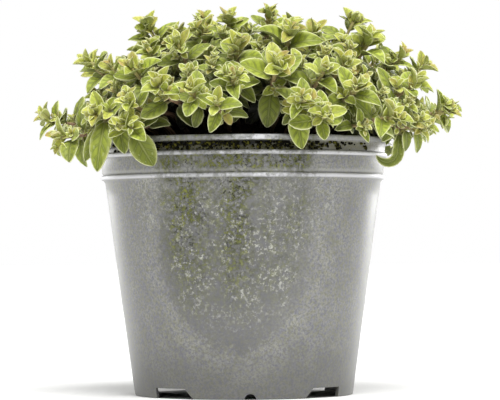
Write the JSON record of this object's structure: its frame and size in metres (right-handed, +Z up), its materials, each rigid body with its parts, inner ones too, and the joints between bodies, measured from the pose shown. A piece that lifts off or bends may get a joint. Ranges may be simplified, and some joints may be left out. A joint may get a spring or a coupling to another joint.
{
  "type": "potted oregano plant",
  "caption": "Bushy golden-leaved oregano: many square leafy stems with paired oval leaves, in a tapered round nursery pot with a rolled lip, two beads and a notched foot.",
  "frame": {"origin": "on the ground, under the centre of the pot", "axes": "+Z up; -Y towards the side that the picture shows; +X to the right seen from there, along the plant's widest spread"},
  "size_m": [0.1713, 0.1591, 0.1563],
  "materials": {
    "pot_plastic": "weathered grey polypropylene with algae and lime specks",
    "compost": "dark crumbly peat compost",
    "foliage": "golden green leaves with pale margins, on pinkish brown stems"
  },
  "bodies": {
    "root": {"pot": "pot_plastic", "soil": "compost", "leafy_stem_01": "foliage", "leafy_stem_02": "foliage", "leafy_stem_03": "foliage", "leafy_stem_04": "foliage", "leafy_stem_05": "foliage", "leafy_stem_06": "foliage", "leafy_stem_07": "foliage", "leafy_stem_08": "foliage", "leafy_stem_09": "foliage", "leafy_stem_10": "foliage", "leafy_stem_11": "foliage", "leafy_stem_12": "foliage", "leafy_stem_13": "foliage", "leafy_stem_14": "foliage", "leafy_stem_15": "foliage", "leafy_stem_16": "foliage", "leafy_stem_17": "foliage", "leafy_stem_18": "foliage", "leafy_stem_19": "foliage", "leafy_stem_20": "foliage", "leafy_stem_21": "foliage", "leafy_stem_22": "foliage", "leafy_stem_23": "foliage", "leafy_stem_24": "foliage", "leafy_stem_25": "foliage", "leafy_stem_26": "foliage", "leafy_stem_27": "foliage", "leafy_stem_28": "foliage", "leafy_stem_29": "foliage", "leafy_stem_30": "foliage", "leafy_stem_31": "foliage", "leafy_stem_32": "foliage", "leafy_stem_33": "foliage", "leafy_stem_34": "foliage", "leafy_stem_35": "foliage", "leafy_stem_36": "foliage", "leafy_stem_37": "foliage", "leafy_stem_38": "foliage", "leafy_stem_39": "foliage", "leafy_stem_40": "foliage", "leafy_stem_41": "foliage", "leafy_stem_42": "foliage", "leafy_stem_43": "foliage", "leafy_stem_44": "foliage", "leafy_stem_45": "foliage", "leafy_stem_46": "foliage", "leafy_stem_47": "foliage", "leafy_stem_48": "foliage", "leafy_stem_49": "foliage", "leafy_stem_50": "foliage", "leafy_stem_51": "foliage", "leafy_stem_52": "foliage", "leafy_stem_53": "foliage", "leafy_stem_54": "foliage", "leafy_stem_55": "foliage"}
  },
  "joints": []
}
